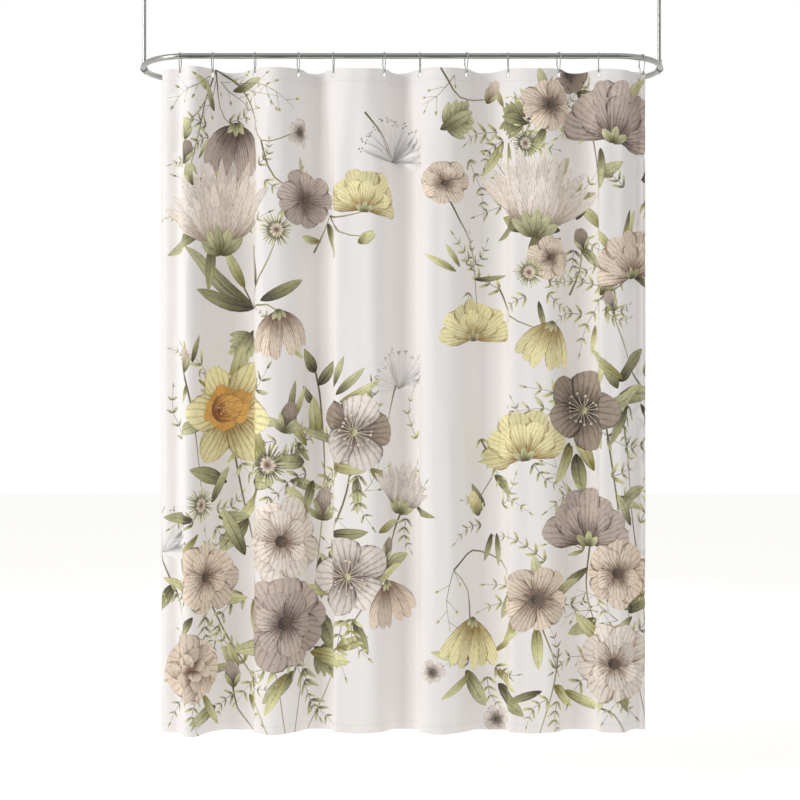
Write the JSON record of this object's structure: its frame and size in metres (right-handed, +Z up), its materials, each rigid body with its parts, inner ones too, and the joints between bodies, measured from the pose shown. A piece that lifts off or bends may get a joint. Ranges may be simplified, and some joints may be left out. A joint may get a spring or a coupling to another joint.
{
  "type": "shower curtain on ring rail",
  "caption": "Square printed cloth shower curtain in deep folds, hung by wire hooks from an oval ring rail on two ceiling tubes; it slides along the rail and swings.",
  "frame": {"origin": "in the ceiling plane, midway between the two ceiling flanges", "axes": "+Z up; +X along the rail, towards the ring's right end as seen from outside the bath; -Y towards the side that the curtain hangs on"},
  "size_m": [1.544, 0.4371, 2.29],
  "materials": {
    "brushed_steel": "satin",
    "spring_wire": "gloss",
    "fastener": "satin",
    "printed_cloth": "matte",
    "thread": "matte"
  },
  "bodies": {
    "ring_rail": {"rail_front": "brushed_steel", "rail_rear": "brushed_steel", "end_fitting_left": "brushed_steel", "set_screw_left_front": "fastener", "set_screw_left_rear": "fastener", "ceiling_tube_left": "brushed_steel", "ceiling_flange_left": "brushed_steel", "flange_screw_left_1": "fastener", "flange_screw_left_2": "fastener", "flange_screw_left_3": "fastener", "end_fitting_right": "brushed_steel", "set_screw_right_front": "fastener", "set_screw_right_rear": "fastener", "ceiling_tube_right": "brushed_steel", "ceiling_flange_right": "brushed_steel", "flange_screw_right_1": "fastener", "flange_screw_right_2": "fastener", "flange_screw_right_3": "fastener"},
    "curtain": {"curtain_panel": "printed_cloth", "header_facing": "printed_cloth", "bottom_hem": "printed_cloth", "side_hem_left": "printed_cloth", "side_hem_right": "printed_cloth", "buttonhole_01": "thread", "buttonhole_02": "thread", "buttonhole_03": "thread", "buttonhole_04": "thread", "buttonhole_05": "thread", "buttonhole_06": "thread", "buttonhole_07": "thread", "buttonhole_08": "thread", "buttonhole_09": "thread", "buttonhole_10": "thread", "buttonhole_11": "thread", "buttonhole_12": "thread"},
    "hook_01": {"hook_01": "spring_wire"},
    "hook_02": {"hook_02": "spring_wire"},
    "hook_03": {"hook_03": "spring_wire"},
    "hook_04": {"hook_04": "spring_wire"},
    "hook_05": {"hook_05": "spring_wire"},
    "hook_06": {"hook_06": "spring_wire"},
    "hook_07": {"hook_07": "spring_wire"},
    "hook_08": {"hook_08": "spring_wire"},
    "hook_09": {"hook_09": "spring_wire"},
    "hook_10": {"hook_10": "spring_wire"},
    "hook_11": {"hook_11": "spring_wire"},
    "hook_12": {"hook_12": "spring_wire"}
  },
  "joints": [
    {"name": "curtain_swing", "type": "hinge", "parent": "ring_rail", "child": "curtain", "pos_m": [0, -0.182, -0.4], "axis": [1, 0, 0], "range_deg": [-8, 8]},
    {"name": "curtain_draw", "type": "slide", "parent": "curtain", "child": "hook_01", "axis": [1, 0, 0], "range_m": [0, 0.7296], "deforming": ["curtain_panel", "header_facing", "bottom_hem", "side_hem_left", "side_hem_right", "buttonhole_01", "buttonhole_02", "buttonhole_03", "buttonhole_04", "buttonhole_05", "buttonhole_06", "buttonhole_07", "buttonhole_08", "buttonhole_09", "buttonhole_10", "buttonhole_11", "buttonhole_12"]},
    {"name": "hook_02_slide", "type": "slide", "parent": "curtain", "child": "hook_02", "axis": [1, 0, 0], "range_m": [0, 0.6785]},
    {"name": "hook_03_slide", "type": "slide", "parent": "curtain", "child": "hook_03", "axis": [1, 0, 0], "range_m": [0, 0.6118]},
    {"name": "hook_04_slide", "type": "slide", "parent": "curtain", "child": "hook_04", "axis": [1, 0, 0], "range_m": [0, 0.5434]},
    {"name": "hook_05_slide", "type": "slide", "parent": "curtain", "child": "hook_05", "axis": [1, 0, 0], "range_m": [0, 0.4881]},
    {"name": "hook_06_slide", "type": "slide", "parent": "curtain", "child": "hook_06", "axis": [1, 0, 0], "range_m": [0, 0.4083]},
    {"name": "hook_07_slide", "type": "slide", "parent": "curtain", "child": "hook_07", "axis": [1, 0, 0], "range_m": [0, 0.3519]},
    {"name": "hook_08_slide", "type": "slide", "parent": "curtain", "child": "hook_08", "axis": [1, 0, 0], "range_m": [0, 0.2789]},
    {"name": "hook_09_slide", "type": "slide", "parent": "curtain", "child": "hook_09", "axis": [1, 0, 0], "range_m": [0, 0.2134]},
    {"name": "hook_10_slide", "type": "slide", "parent": "curtain", "child": "hook_10", "axis": [1, 0, 0], "range_m": [0, 0.1336]},
    {"name": "hook_11_slide", "type": "slide", "parent": "curtain", "child": "hook_11", "axis": [0.9994, 0.034, 0], "range_m": [0, 0.0709]},
    {"name": "hook_12_swing", "type": "hinge", "parent": "ring_rail", "child": "hook_12", "pos_m": [0.66699, -0.15549, -0.4], "axis": [0.8083, 0.5888, 0], "range_deg": [-8, 8]}
  ],
  "couplings": [
    {"joint": "hook_02_slide", "follows": "curtain_draw", "ratio": 0.92973},
    {"joint": "hook_03_slide", "follows": "curtain_draw", "ratio": 0.83836},
    {"joint": "hook_04_slide", "follows": "curtain_draw", "ratio": 0.74464},
    {"joint": "hook_05_slide", "follows": "curtain_draw", "ratio": 0.66882},
    {"joint": "hook_06_slide", "follows": "curtain_draw", "ratio": 0.55945},
    {"joint": "hook_07_slide", "follows": "curtain_draw", "ratio": 0.48209},
    {"joint": "hook_08_slide", "follows": "curtain_draw", "ratio": 0.38209},
    {"joint": "hook_09_slide", "follows": "curtain_draw", "ratio": 0.29227},
    {"joint": "hook_10_slide", "follows": "curtain_draw", "ratio": 0.18291},
    {"joint": "hook_11_slide", "follows": "curtain_draw", "ratio": 0.097},
    {"joint": "hook_12_swing", "follows": "curtain_swing", "ratio": 1}
  ]
}
